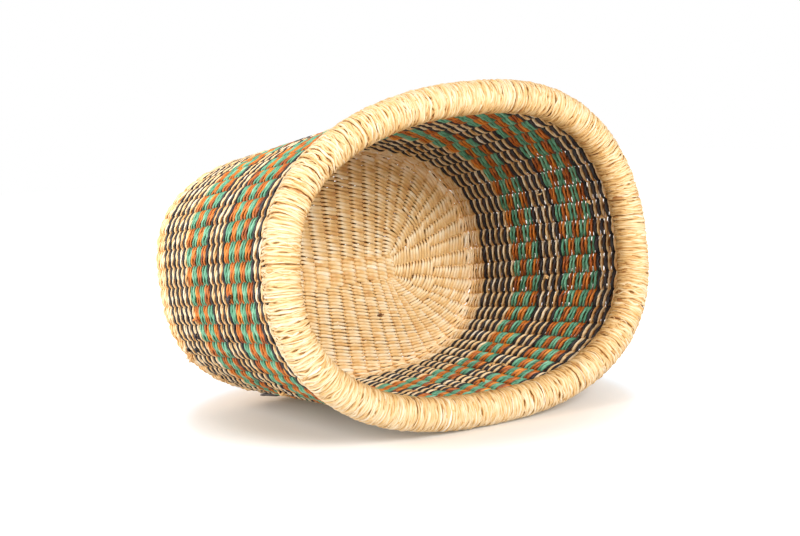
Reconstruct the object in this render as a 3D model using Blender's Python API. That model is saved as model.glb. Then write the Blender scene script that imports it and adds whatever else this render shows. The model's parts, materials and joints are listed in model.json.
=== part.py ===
"""Oval basket of twined grass with a thick wrapped rim and no handle.

The basket stands on its base: +Z is up, X is the long way across the mouth and
the origin lies on the underside, below the middle of the rim's outline.

Upright stakes start in the base, climb the wall and end under the rim roll.
Every weaver row is twined in pairs, one strand outside the stakes and one
inside. Here a row's outer strands are one ring, and each band's inner strands
are another, with the stakes held between them. All of them are sheets of one
shell: each has its own depth below the shell's outer face.
"""

import math
from typing import NamedTuple

import bmesh
import bpy
import numpy as np

# The wall's middle surface at the lowest dark row, and how far it spreads up to the rim
BASE_HALF_LENGTH = 0.160
BASE_HALF_WIDTH = 0.101
SPREAD_ALONG = 0.006
SPREAD_ACROSS = 0.016
BASE_ROUNDNESS_SHARE = 2.61
RIM_ROUNDNESS_SHARE = 2.37

# The hand-made lean and waviness of the mouth
BASE_LEAN_SHARE = -0.035
RIM_LEAN_SHARE = 0.09
RIM_SHIFT_ALONG = 0.005
RIM_SHIFT_ACROSS = 0.003
RIM_DIAGONAL_DIP = 0.002
RIM_SIDE_DIP = 0.004
RIM_LOBE = 0.0025

# The middle of the base, which the courses of its weave run round
SPINE_HALF_LENGTH = 0.0675
SPINE_HALF_WIDTH = 0.010
SPINE_SHIFT_ACROSS = 0.007
SPINE_FOLLOW_SHARE = 0.815
SPINE_ROUNDNESS_SHARE = 6.0

# Heights
CORNER_RADIUS = 0.011
FOOT_HEIGHT = 0.021
ROW_PITCH = 0.00441

# The stakes
STAKE_COUNT = 60
STAKES_PER_FACET = 2
STAKE_WIDTH = 0.0036
STAKE_THICKNESS = 0.0020

# The weavers, and the small space between pieces that touch
WEAVER_THICKNESS = 0.0016
CLEARANCE = 0.0003

# The rim roll
ROLL_RADIUS = 0.0127
BINDING_THICKNESS = 0.0016
ROLL_SIDES = 12

# The rows, from the foot to the rim
STRIPE_ROW_COUNT = 1
CHECK_ROW_COUNT = 2
LOWER_STRIPE_PAIR_COUNT = 5
LOWER_CHECK_BLOCK_COUNT = 4
MIDDLE_STRIPE_PAIR_COUNT = 3
UPPER_CHECK_BLOCK_COUNT = 5
UPPER_STRIPE_PAIR_COUNT = 2
TOP_ROW_COUNT = 2

# The base's courses, each for about five rows, and a groove's course: how far along it, how deep
BASE_COURSE_COUNT = 5
GROOVE_SHARES = ((0.25, 0.0), (0.5, 0.5), (0.75, 0.0))

# How finely the corner's quarter turn, the inner bands and the outline are cut
CORNER_LEVEL_SHARES = (0.0, 0.33, 0.66)
PLATE_EDGE_SHARE = 0.66
ROWS_PER_INNER_STEP = 2
ARC_SAMPLE_COUNT = 2880

# Depths of the three layers below the shell's outer face
OUTER_WEAVE = (0.0, WEAVER_THICKNESS)
STAKE_LAYER_TOP = WEAVER_THICKNESS + CLEARANCE
STAKE_LAYER = (STAKE_LAYER_TOP, STAKE_LAYER_TOP + STAKE_THICKNESS)
INNER_WEAVE_TOP = STAKE_LAYER[1] + CLEARANCE
INNER_WEAVE = (INNER_WEAVE_TOP, INNER_WEAVE_TOP + WEAVER_THICKNESS)
WALL_THICKNESS = INNER_WEAVE[1]

# What follows from the sizes above
RIM_HALF_LENGTH = BASE_HALF_LENGTH + SPREAD_ALONG
RIM_HALF_WIDTH = BASE_HALF_WIDTH + SPREAD_ACROSS
FACET_COUNT = STAKE_COUNT // STAKES_PER_FACET
CORE_RADIUS = ROLL_RADIUS - BINDING_THICKNESS - CLEARANCE

# Colour (linear), roughness
NATURAL_GRASS = ("natural_grass", (0.80, 0.58, 0.30), 0.62)
PALE_GRASS = ("pale_grass", (0.86, 0.66, 0.37), 0.58)
BLACK_GRASS = ("black_grass", (0.024, 0.018, 0.020), 0.60)
GREEN_GRASS = ("green_grass", (0.15, 0.46, 0.32), 0.62)
ORANGE_GRASS = ("orange_grass", (0.62, 0.17, 0.035), 0.62)
STAKE_GRASS = ("stake_grass", (0.62, 0.42, 0.19), 0.70)


class Band(NamedTuple):
    """A band of rows: the pieces' names and finishes in turn, and its size."""

    name: str
    outer_pieces: tuple
    inner_finish: tuple
    rows_per_piece: int
    piece_count: int


BLACK_THEN_NATURAL = (("black", BLACK_GRASS), ("natural", NATURAL_GRASS))
CHECK_PAIR = (("row", GREEN_GRASS), ("row", ORANGE_GRASS))
TOP_PAIR = (("row", NATURAL_GRASS),)

LOWER_STRIPE_COUNT = 2 * LOWER_STRIPE_PAIR_COUNT
MIDDLE_STRIPE_COUNT = 2 * MIDDLE_STRIPE_PAIR_COUNT + 1
UPPER_STRIPE_COUNT = 2 * UPPER_STRIPE_PAIR_COUNT + 1
BANDS = (
    Band("lower_stripe", BLACK_THEN_NATURAL, NATURAL_GRASS, STRIPE_ROW_COUNT, LOWER_STRIPE_COUNT),
    Band("lower_check", CHECK_PAIR, ORANGE_GRASS, CHECK_ROW_COUNT, LOWER_CHECK_BLOCK_COUNT),
    Band("middle_stripe", BLACK_THEN_NATURAL, NATURAL_GRASS, STRIPE_ROW_COUNT, MIDDLE_STRIPE_COUNT),
    Band("upper_check", CHECK_PAIR, GREEN_GRASS, CHECK_ROW_COUNT, UPPER_CHECK_BLOCK_COUNT),
    Band("upper_stripe", BLACK_THEN_NATURAL, NATURAL_GRASS, STRIPE_ROW_COUNT, UPPER_STRIPE_COUNT),
    Band("top_natural", TOP_PAIR, NATURAL_GRASS, STRIPE_ROW_COUNT, TOP_ROW_COUNT),
)
ROW_COUNT = sum(band.rows_per_piece * band.piece_count for band in BANDS)
WALL_TOP = FOOT_HEIGHT + ROW_COUNT * ROW_PITCH
ROLL_HEIGHT = WALL_TOP + CLEARANCE + CORE_RADIUS


class Level(NamedTuple):
    """A height on the shell: on the corner's curve, or on the wall above it."""

    corner_share: float
    height: float


class Station(NamedTuple):
    """A place round the shell: a facet's number and a share along that facet."""

    facet: int
    share: float


def corner_level(share):
    """Return the level at a share of the corner's quarter turn, 0 at the wall."""
    return Level(share, None)


def wall_level(height):
    """Return the level at a height on the wall."""
    return Level(0.0, height)


def climb_share(height):
    """Return how far up the wall a height lies: 0 at the foot and 1 at its top."""
    return min(max((height - FOOT_HEIGHT) / (WALL_TOP - FOOT_HEIGHT), 0.0), 1.0)


def oval(half_length, half_width, roundness, lean, angles):
    """Return a rounded oval as x and y at each angle, leaning along x with y."""
    cosines, sines = np.cos(angles), np.sin(angles)
    along = half_length * np.sign(cosines) * np.abs(cosines) ** (2 / roundness)
    across = half_width * np.sign(sines) * np.abs(sines) ** (2 / roundness)
    return np.column_stack((along + lean * across, across))


def middle_line(climb, angles):
    """Return the wall's middle line at a share of its climb from the foot to the rim."""
    foot = oval(BASE_HALF_LENGTH, BASE_HALF_WIDTH, BASE_ROUNDNESS_SHARE, BASE_LEAN_SHARE, angles)
    rim = oval(RIM_HALF_LENGTH, RIM_HALF_WIDTH, RIM_ROUNDNESS_SHARE, RIM_LEAN_SHARE, angles)
    lobe = RIM_LOBE * np.cos(3 * angles)
    rim -= np.column_stack((
        lobe * np.cos(angles) + RIM_SHIFT_ALONG,
        lobe * np.sin(angles) + RIM_SHIFT_ACROSS,
    ))
    return foot + (rim - foot) * climb


def facet_angles():
    """Return the angles of the facets' corners, at equal lengths round mid-wall."""
    angles = np.linspace(0.0, 2 * math.pi, ARC_SAMPLE_COUNT + 1)
    line = middle_line(0.5, angles)
    steps = np.hypot(*np.diff(line, axis=0).T)
    lengths = np.concatenate(([0.0], np.cumsum(steps)))
    places = np.arange(FACET_COUNT) / FACET_COUNT * lengths[-1]
    return np.interp(places, lengths, angles)


FACET_ANGLES = facet_angles()
WAVES = -RIM_DIAGONAL_DIP * np.sin(2 * FACET_ANGLES) - RIM_SIDE_DIP * np.sin(3 * FACET_ANGLES)


def mitred_line(climb, outward):
    """Return the middle line's corners moved outward, so that each facet moves by that much."""
    corners = middle_line(climb, FACET_ANGLES)
    along = np.roll(corners, -1, axis=0) - corners
    facing = np.column_stack((along[:, 1], -along[:, 0])) / np.hypot(*along.T)[:, None]
    before = np.roll(facing, 1, axis=0)
    mitre = (facing + before) / (1 + np.sum(facing * before, axis=1))[:, None]
    return corners + mitre * outward


def offset_line(climb, outward):
    """Return the offset line at a share of the climb, straight from the foot to the rim."""
    foot = mitred_line(0.0, outward)
    return foot + (mitred_line(1.0, outward) - foot) * climb


def roll_centre():
    """Return the middle of the rim roll's outline in plan."""
    outline = offset_line(1.0, ROLL_RADIUS)
    return (outline.min(axis=0) + outline.max(axis=0)) / 2


ORIGIN = roll_centre()


def loop(climb, outward, height):
    """Return the 3-D corners of one loop round the shell."""
    plan = offset_line(climb, outward) - ORIGIN
    return np.column_stack((plan, height + climb * WAVES))


def shell_loop(level, depth):
    """Return the loop at a level, at a depth below the shell's outer face."""
    if level.height is not None:
        return loop(climb_share(level.height), WALL_THICKNESS / 2 - depth, level.height)
    turn = level.corner_share * math.pi / 2
    radius = CORNER_RADIUS - depth
    inset = CORNER_RADIUS - radius * math.cos(turn)
    return loop(0.0, WALL_THICKNESS / 2 - inset, CORNER_RADIUS - radius * math.sin(turn))


def point_at(corners, station):
    """Return the point at a station of a loop."""
    start = corners[station.facet]
    end = corners[(station.facet + 1) % FACET_COUNT]
    return start + (end - start) * station.share


def corner_stations():
    """Return one station at each facet's corner."""
    return [Station(facet, 0.0) for facet in range(FACET_COUNT)]


def stake_stations():
    """Return the stations round the stakes, and the columns that hold a stake."""
    corners = offset_line(0.0, 0.0)
    stations, stake_columns = [], []
    for facet in range(FACET_COUNT):
        length = np.hypot(*(corners[(facet + 1) % FACET_COUNT] - corners[facet]))
        half_share = STAKE_WIDTH / 2 / length
        stations.append(Station(facet, 0.0))
        for number in range(STAKES_PER_FACET):
            middle_share = (number + 0.5) / STAKES_PER_FACET
            stake_columns.append(len(stations))
            stations.append(Station(facet, middle_share - half_share))
            stations.append(Station(facet, middle_share + half_share))
    return stations, stake_columns


def new_material(finish):
    """Return the finish's material, made once."""
    name, colour, roughness = finish
    material = bpy.data.materials.get(name)
    if material is None:
        material = bpy.data.materials.new(name)
        material.use_nodes = True
        shader = material.node_tree.nodes["Principled BSDF"]
        shader.inputs["Base Color"].default_value = (*colour, 1.0)
        shader.inputs["Roughness"].default_value = roughness
        shader.inputs["Metallic"].default_value = 0.0
    return material


def add_object(name, shape, finish):
    """Turn a bmesh into a named object with its faces outward."""
    bmesh.ops.recalc_face_normals(shape, faces=shape.faces)
    mesh = bpy.data.meshes.new(name)
    shape.to_mesh(mesh)
    shape.free()
    mesh.materials.append(new_material(finish))
    piece = bpy.data.objects.new(name, mesh)
    bpy.context.collection.objects.link(piece)
    return piece


def add_sheet(name, finish, levels, depths, stations, wall_columns, has_floor=False):
    """Make a sheet of the shell: its outer face, extruded to its inner one."""
    shape = bmesh.new()
    source = shape.verts.layers.int.new("source")
    outer_loops = [shell_loop(level, depths[0]) for level in levels]
    inner_loops = [shell_loop(level, depths[1]) for level in levels]

    used = {(0, column) for column in range(len(stations))} if has_floor else set()
    for column in wall_columns:
        for row in range(len(levels)):
            used.add((row, column))
            used.add((row, (column + 1) % len(stations)))

    corners, inner_places = {}, []
    for row, column in sorted(used):
        corner = shape.verts.new(point_at(outer_loops[row], stations[column]))
        corner[source] = len(inner_places)
        corners[(row, column)] = corner
        inner_places.append(point_at(inner_loops[row], stations[column]))

    if has_floor:
        shape.faces.new([corners[(0, column)] for column in range(len(stations))])
    for column in wall_columns:
        beyond = (column + 1) % len(stations)
        for row in range(len(levels) - 1):
            shape.faces.new((
                corners[(row, column)], corners[(row, beyond)],
                corners[(row + 1, beyond)], corners[(row + 1, column)],
            ))

    result = bmesh.ops.extrude_face_region(shape, geom=list(shape.faces), use_keep_orig=True)
    for item in result["geom"]:
        if isinstance(item, bmesh.types.BMVert):
            item.co = inner_places[item[source]]
    return add_object(name, shape, finish)


def add_ring(name, finish, levels, depths):
    """Make a sheet that runs all the way round the wall."""
    return add_sheet(name, finish, levels, depths, corner_stations(), range(FACET_COUNT))


def spine_loop(edge):
    """Return the loop round the base's middle that the corners of its edge run in to."""
    plan = edge[:, :2] + ORIGIN
    reach = plan[:, 0] * SPINE_FOLLOW_SHARE / SPINE_HALF_LENGTH
    limit = (1 + np.abs(reach) ** SPINE_ROUNDNESS_SHARE) ** (1 / SPINE_ROUNDNESS_SHARE)
    along = SPINE_HALF_LENGTH * reach / limit
    across = SPINE_HALF_WIDTH * plan[:, 1] / BASE_HALF_WIDTH - SPINE_SHIFT_ACROSS
    return np.column_stack((np.column_stack((along, across)) - ORIGIN, edge[:, 2]))


def course_loops(seen_depth, hidden_depth):
    """Return the loops of a plate's seen face, from its middle out, with a groove in each course."""
    edge = shell_loop(corner_level(1.0), seen_depth)
    spine = spine_loop(edge)
    loops = [edge]
    for number in range(BASE_COURSE_COUNT):
        for along_share, deep_share in GROOVE_SHARES:
            corners = edge + (spine - edge) * (number + along_share) / BASE_COURSE_COUNT
            corners[:, 2] += (hidden_depth - seen_depth) * deep_share
            loops.append(corners)
    return loops[::-1]


def add_plate(name, finish, seen_depth, hidden_depth):
    """Make one layer of the base: its courses, the start of its corner and its plain back."""
    loops = course_loops(seen_depth, hidden_depth)
    loops += [
        shell_loop(corner_level(PLATE_EDGE_SHARE), seen_depth),
        shell_loop(corner_level(PLATE_EDGE_SHARE), hidden_depth),
        shell_loop(corner_level(1.0), hidden_depth),
    ]
    shape = bmesh.new()
    rings = [[shape.verts.new(place) for place in corners] for corners in loops]
    shape.faces.new(rings[0])
    shape.faces.new(rings[-1])
    for ring, beyond in zip(rings, rings[1:]):
        for number in range(FACET_COUNT):
            after = (number + 1) % FACET_COUNT
            shape.faces.new((ring[number], ring[after], beyond[after], beyond[number]))
    return add_object(name, shape, finish)


def add_stakes():
    """Make the stakes: side by side across the base, then apart up the wall."""
    stations, stake_columns = stake_stations()
    levels = [corner_level(1.0)]
    levels += [corner_level(share) for share in reversed(CORNER_LEVEL_SHARES)]
    levels += [wall_level(FOOT_HEIGHT), wall_level(WALL_TOP)]
    return add_sheet("stakes", STAKE_GRASS, levels, STAKE_LAYER, stations, stake_columns, True)


def add_foot(name, depths):
    """Make the foot's plain rows: from the plate's edge up to the first dark row."""
    lowest = PLATE_EDGE_SHARE - CLEARANCE / CORNER_RADIUS
    shares = [lowest] + [share for share in reversed(CORNER_LEVEL_SHARES) if share < lowest]
    levels = [corner_level(share) for share in shares]
    levels.append(wall_level(FOOT_HEIGHT - CLEARANCE / 2))
    return add_ring(name, NATURAL_GRASS, levels, depths)


def add_band(band, first_row):
    """Make a band's outer rows and its inner layer, and return the row above it."""
    seen = {}
    row = first_row
    for number in range(band.piece_count):
        kind, finish = band.outer_pieces[number % len(band.outer_pieces)]
        seen[kind] = seen.get(kind, 0) + 1
        low = FOOT_HEIGHT + row * ROW_PITCH + CLEARANCE / 2
        row += band.rows_per_piece
        high = FOOT_HEIGHT + row * ROW_PITCH - CLEARANCE / 2
        levels = [wall_level(low), wall_level(high)]
        add_ring(f"{band.name}_{kind}_{seen[kind]}", finish, levels, OUTER_WEAVE)
    low = FOOT_HEIGHT + first_row * ROW_PITCH + CLEARANCE / 2
    high = FOOT_HEIGHT + row * ROW_PITCH - CLEARANCE / 2
    step_count = math.ceil((row - first_row) / ROWS_PER_INNER_STEP)
    levels = [wall_level(height) for height in np.linspace(low, high, step_count + 1)]
    add_ring(f"{band.name}_inside", band.inner_finish, levels, INNER_WEAVE)
    return row


def arc_points(radius, start, sweep, count):
    """Return points on an arc about the roll's middle, as outward and up."""
    turns = [start + sweep * number / count for number in range(count + 1)]
    return [(radius * math.cos(turn), radius * math.sin(turn)) for turn in turns]


def add_swept_ring(name, finish, section):
    """Sweep a closed section round the rim, with one bridge between each pair of loops."""
    shape = bmesh.new()
    loops = []
    for outward, up in section:
        corners = [shape.verts.new(place) for place in loop(1.0, outward, ROLL_HEIGHT + up)]
        loops.append([
            shape.edges.new((corners[number], corners[(number + 1) % FACET_COUNT]))
            for number in range(FACET_COUNT)
        ])
    for number, edges in enumerate(loops):
        bmesh.ops.bridge_loops(shape, edges=edges + loops[(number + 1) % len(loops)])
    return add_object(name, shape, finish)


def add_rim():
    """Make the grass core on the stakes' ends, and the binding that wraps it."""
    full_turn = 2 * math.pi
    core = arc_points(CORE_RADIUS, 0.0, full_turn, ROLL_SIDES)[:-1]
    add_swept_ring("rim_core", NATURAL_GRASS, core)

    # The binding is open below, where the wall's top comes up between its lips.
    # Its inner sides touch the circle round the core, so its inner corners lie outside it.
    half_slot = WALL_THICKNESS / 2 + CLEARANCE
    outer_half = math.pi - math.asin(half_slot / ROLL_RADIUS)
    inner_radius = (CORE_RADIUS + CLEARANCE) / math.cos(math.pi / ROLL_SIDES)
    inner_half = math.pi - math.asin(half_slot / inner_radius)
    up = math.pi / 2
    outer = arc_points(ROLL_RADIUS, up - outer_half, 2 * outer_half, ROLL_SIDES)
    inner = arc_points(inner_radius, up + inner_half, -2 * inner_half, ROLL_SIDES)
    add_swept_ring("rim_binding", PALE_GRASS, outer + inner)


def clear_scene():
    """Remove whatever objects the scene holds."""
    for item in list(bpy.data.objects):
        bpy.data.objects.remove(item)


def main():
    """Build the basket from its base to its rim."""
    clear_scene()
    add_plate("base_weave_under", NATURAL_GRASS, *OUTER_WEAVE)
    add_plate("base_weave_inside", NATURAL_GRASS, *reversed(INNER_WEAVE))
    add_stakes()
    add_foot("foot_weave_outside", OUTER_WEAVE)
    add_foot("foot_weave_inside", INNER_WEAVE)
    row = 0
    for band in BANDS:
        row = add_band(band, row)
    add_rim()


main()
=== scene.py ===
"""Oval basket of twined grass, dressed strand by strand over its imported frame.

The basket stands upright here, as the frame does: +Z is up and X is the long way
across the mouth. Every weaver row is two strands that cross between all stakes,
and most strands are two plies. The camera is turned so that the basket is seen
lying on its long side, with the mouth towards it.
"""

from __future__ import annotations

import json
import logging
import math
from collections.abc import Sequence
from dataclasses import dataclass, field
from enum import Enum

import bpy
import numpy as np
from mathutils import Matrix, Vector

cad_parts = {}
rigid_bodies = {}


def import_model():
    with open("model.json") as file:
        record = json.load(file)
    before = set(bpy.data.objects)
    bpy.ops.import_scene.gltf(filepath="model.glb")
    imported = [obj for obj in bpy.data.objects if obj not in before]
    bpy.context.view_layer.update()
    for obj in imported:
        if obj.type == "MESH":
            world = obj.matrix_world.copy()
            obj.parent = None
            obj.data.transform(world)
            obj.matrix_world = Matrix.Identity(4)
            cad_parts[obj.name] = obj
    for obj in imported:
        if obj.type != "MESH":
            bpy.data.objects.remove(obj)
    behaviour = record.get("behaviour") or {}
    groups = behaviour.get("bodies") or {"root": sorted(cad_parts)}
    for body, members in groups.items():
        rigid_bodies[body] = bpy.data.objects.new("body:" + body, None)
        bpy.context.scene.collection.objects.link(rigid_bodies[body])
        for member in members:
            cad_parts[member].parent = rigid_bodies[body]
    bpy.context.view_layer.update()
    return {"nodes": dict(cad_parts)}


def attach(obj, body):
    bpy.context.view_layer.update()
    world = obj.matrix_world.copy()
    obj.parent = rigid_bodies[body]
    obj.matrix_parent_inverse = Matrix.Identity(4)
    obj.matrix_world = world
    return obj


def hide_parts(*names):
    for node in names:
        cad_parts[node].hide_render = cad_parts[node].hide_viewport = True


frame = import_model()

LOG = logging.getLogger("basket")
UV_NAME = "weave"
# A point's tone is its grass tone with painted shade and painted highlights added to it.
TONE_NAME = "tone"
GRAIN_RANGE = 40.0
SEED_STEP = 1000

Array = np.ndarray
Pair = tuple[float, float]
Triple = tuple[float, float, float]


class Lead(Enum):
    """The two strands of a row: which side of the stakes each starts on."""

    FIRST = 1.0
    SECOND = -1.0


class Grass(Enum):
    """The colours the grass is dyed in, or left in, and the stakes' natural grass darkened by
    painted shade.
    """

    NATURAL = "natural_grass"
    PALE = "pale_grass"
    BLACK = "black_grass"
    GREEN = "green_grass"
    ORANGE = "orange_grass"
    STAKE = "stake_grass"


@dataclass
class Socket:
    """A shader socket that Python's own operators can be used on, and its bench."""

    bench: Bench
    output: bpy.types.NodeSocket

    def _maths(self, operation: str, *values: Socket | float) -> Socket:
        """Return a Math node's result on these values."""
        inputs = dict(enumerate(values))
        return self.bench.node("ShaderNodeMath", {"operation": operation}, inputs)

    def __add__(self, other: Socket | float) -> Socket:
        """Return the sum."""
        return self._maths("ADD", self, other)

    def __sub__(self, other: Socket | float) -> Socket:
        """Return the difference."""
        return self._maths("SUBTRACT", self, other)

    def __rsub__(self, other: float) -> Socket:
        """Return a number less this socket."""
        return self._maths("SUBTRACT", other, self)

    def __mul__(self, other: Socket | float) -> Socket:
        """Return the product."""
        return self._maths("MULTIPLY", self, other)

    __radd__ = __add__
    __rmul__ = __mul__


@dataclass
class Bench:
    """The node tree of one material or world, and the one way nodes are added to it."""

    tree: bpy.types.NodeTree

    def node(self, kind: str, settings: dict | None = None, inputs: dict | None = None,
             output: str | int = 0) -> Socket:
        """Add a node and return one of its outputs.

        Args:
            kind: the node's type.
            settings: its settings, such as an operation or a ramp's stops.
            inputs: values or sockets by input name or number.
            output: the output's name or number.

        Returns:
            The chosen output, wrapped.
        """
        made = self.tree.nodes.new(kind)
        for name, value in (settings or {}).items():
            if name == "stops":
                ramp = made.color_ramp
                while len(ramp.elements) < len(value):
                    ramp.elements.new(1.0)
                for element, (place, colour) in zip(ramp.elements, value):
                    element.position = place
                    element.color = (*colour, 1.0)
            else:
                setattr(made, name, value)
        for name, value in (inputs or {}).items():
            target = made.inputs[name]
            if isinstance(value, Socket):
                self.tree.links.new(value.output, target)
            else:
                target.default_value = value
        return Socket(self, made.outputs[output])

    def noise(self, place: Socket, scale: Triple, roughness: float) -> Socket:
        """Return flat noise, stretched to a scale of its own along and across the grain."""
        mapped = self.node("ShaderNodeMapping", None, {"Vector": place, "Scale": scale})
        return self.node("ShaderNodeTexNoise", {"noise_dimensions": "2D"},
                         {"Vector": mapped, "Scale": 1.0, "Detail": 2.0, "Roughness": roughness})

    def seen(self) -> Socket:
        """Return 1 for rays from the camera and for glossy rays, and 0 for all others."""
        return (self.node("ShaderNodeLightPath", output="Is Camera Ray")
                + self.node("ShaderNodeLightPath", output="Is Glossy Ray"))


@dataclass(frozen=True)
class GrassFinish:
    """One colour of grass: its range of tones, its mottling, its fibres and its gloss."""

    grass: Grass
    stops: tuple[tuple[float, Triple], ...]
    roughness: float = 0.55
    roughness_range: float = 0.3
    mottle: float = 0.35
    mottle_scale: Triple = (0.9, 1.1, 1.0)
    mottle_roughness: float = 0.6
    fibre: float = 0.22
    fibre_scale: Triple = (0.55, 9.0, 1.0)
    fibre_roughness: float = 0.7
    bump: float = 0.5
    bump_depth: float = 0.0003

    def material(self) -> bpy.types.Material:
        """Make the finish's material, or find it again.

        Returns:
            The material.
        """
        name = "dressed_" + self.grass.value
        made = bpy.data.materials.get(name)
        if made is not None:
            return made
        made = bpy.data.materials.new(name)
        made.use_nodes = True
        tree = made.node_tree
        bench = Bench(tree)
        place = bench.node("ShaderNodeUVMap", {"uv_map": UV_NAME})
        tone = bench.node("ShaderNodeAttribute", {"attribute_name": TONE_NAME}, output="Fac")
        mottle = bench.noise(place, self.mottle_scale, self.mottle_roughness)
        fibre = bench.noise(place, self.fibre_scale, self.fibre_roughness)
        value = tone + (mottle - 0.5) * self.mottle + (fibre - 0.5) * self.fibre
        colour = bench.node("ShaderNodeValToRGB", {"stops": self.stops}, {"Fac": value})
        rough = fibre * self.roughness_range + (self.roughness - self.roughness_range / 2)
        bumped = bench.node("ShaderNodeBump", None, {"Height": fibre, "Strength": self.bump,
                                                     "Distance": self.bump_depth})
        shader = tree.nodes["Principled BSDF"]
        for socket, target in ((colour, "Base Color"), (rough, "Roughness"), (bumped, "Normal")):
            tree.links.new(socket.output, shader.inputs[target])
        return made


NATURAL = GrassFinish(Grass.NATURAL, (
    (0.00, (0.28, 0.105, 0.024)), (0.25, (0.64, 0.320, 0.100)), (0.50, (0.84, 0.548, 0.228)),
    (0.75, (0.95, 0.750, 0.465)), (1.00, (0.98, 0.870, 0.680))), roughness=0.48)
PALE = GrassFinish(Grass.PALE, (
    (0.00, (0.32, 0.140, 0.040)), (0.22, (0.58, 0.350, 0.115)), (0.50, (0.71, 0.535, 0.290)),
    (0.75, (0.78, 0.685, 0.510)), (1.00, (0.86, 0.840, 0.770))), mottle=0.22, fibre=0.42)
BLACK = GrassFinish(Grass.BLACK, (
    (0.00, (0.010, 0.008, 0.010)), (0.45, (0.019, 0.014, 0.017)), (0.75, (0.040, 0.031, 0.039)),
    (1.00, (0.070, 0.060, 0.075))), roughness=0.48, fibre=0.30)
GREEN = GrassFinish(Grass.GREEN, (
    (0.00, (0.035, 0.160, 0.090)), (0.30, (0.095, 0.340, 0.210)), (0.60, (0.190, 0.520, 0.340)),
    (1.00, (0.420, 0.720, 0.540))), roughness=0.45)
ORANGE = GrassFinish(Grass.ORANGE, (
    (0.00, (0.150, 0.026, 0.004)), (0.30, (0.460, 0.110, 0.010)), (0.60, (0.740, 0.235, 0.020)),
    (1.00, (0.900, 0.460, 0.085))), roughness=0.45)
# The stakes' natural grass, made dark brown: painted shade, as they are seen only in the deep
# shade between the rows.
STAKE = GrassFinish(Grass.STAKE, (
    (0.00, (0.05, 0.018, 0.005)), (0.40, (0.14, 0.055, 0.016)), (1.00, (0.34, 0.160, 0.055))),
    roughness=0.70)


@dataclass(frozen=True)
class Weaver:
    """One kind of strand in the wall.

    Its widths outside and inside are shares of the usual, and the first row may have
    one of its own. Inside the stakes its tone is raised by painted light, or lowered
    by painted shade where that value is below 0. The salt makes its unevenness its own.
    """

    finish: GrassFinish
    widths: Pair
    tone: float
    tone_spread: float
    painted_inside_light: float
    salt: int
    first_width: float | None = None

    @property
    def kind(self) -> str:
        """The colour's name."""
        return self.finish.grass.name.lower()


BLACK_WEAVER = Weaver(BLACK, (0.94, 1.22), 0.42, 0.16, -0.06, 5)
NATURAL_WEAVER = Weaver(NATURAL, (1.06, 0.56), 0.70, 0.14, 0.04, 7)
GREEN_WEAVER = Weaver(GREEN, (1.00, 0.90), 0.52, 0.15, 0.0, 5)
ORANGE_WEAVER = Weaver(ORANGE, (1.00, 0.90), 0.50, 0.15, -0.04, 6)
TOP_WEAVER = Weaver(NATURAL, (1.00, 1.00), 0.52, 0.12, 0.20, 900)
FOOT_WEAVER = Weaver(NATURAL, (1.32, 1.10), 0.74, 0.14, 0.0, 500, 1.6)


@dataclass
class Chance:
    """Random numbers for a group of strands, which are always drawn in the same order."""

    source: np.random.Generator
    strands: int

    def each(self, spread: float, middle: float = 0.0) -> Array:
        """Return a value for each strand, about a middle."""
        return self.source.normal(middle, spread, (self.strands, 1))

    def between(self, low: float, high: float) -> Array:
        """Return a value for each strand between two limits."""
        return self.source.uniform(low, high, (self.strands, 1))

    def stitched(self, places: Array, stitches: int, spread: float, shared: int = 1) -> Array:
        """Return values that change from stitch to stitch, closed round, and may be shared.

        Args:
            places: the places along the strands, in stitches.
            stitches: how many stitches there are to the round.
            spread: how much the values differ.
            shared: how many neighbouring strands have the same values.

        Returns:
            The values at the places, by strand.
        """
        values = self.source.normal(0.0, spread, (self.strands // shared, stitches))
        wrapped = np.concatenate((values[:, -1:], values, values[:, :1]), 1)
        known = np.arange(-1, stitches + 1) + 0.5
        return np.repeat([np.interp(places, known, row) for row in wrapped], shared, axis=0)

    def grain(self, places: Array, scale: float) -> Array:
        """Return the places along the grain, which starts elsewhere on each strand."""
        return places * scale + self.between(0.0, GRAIN_RANGE)


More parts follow.
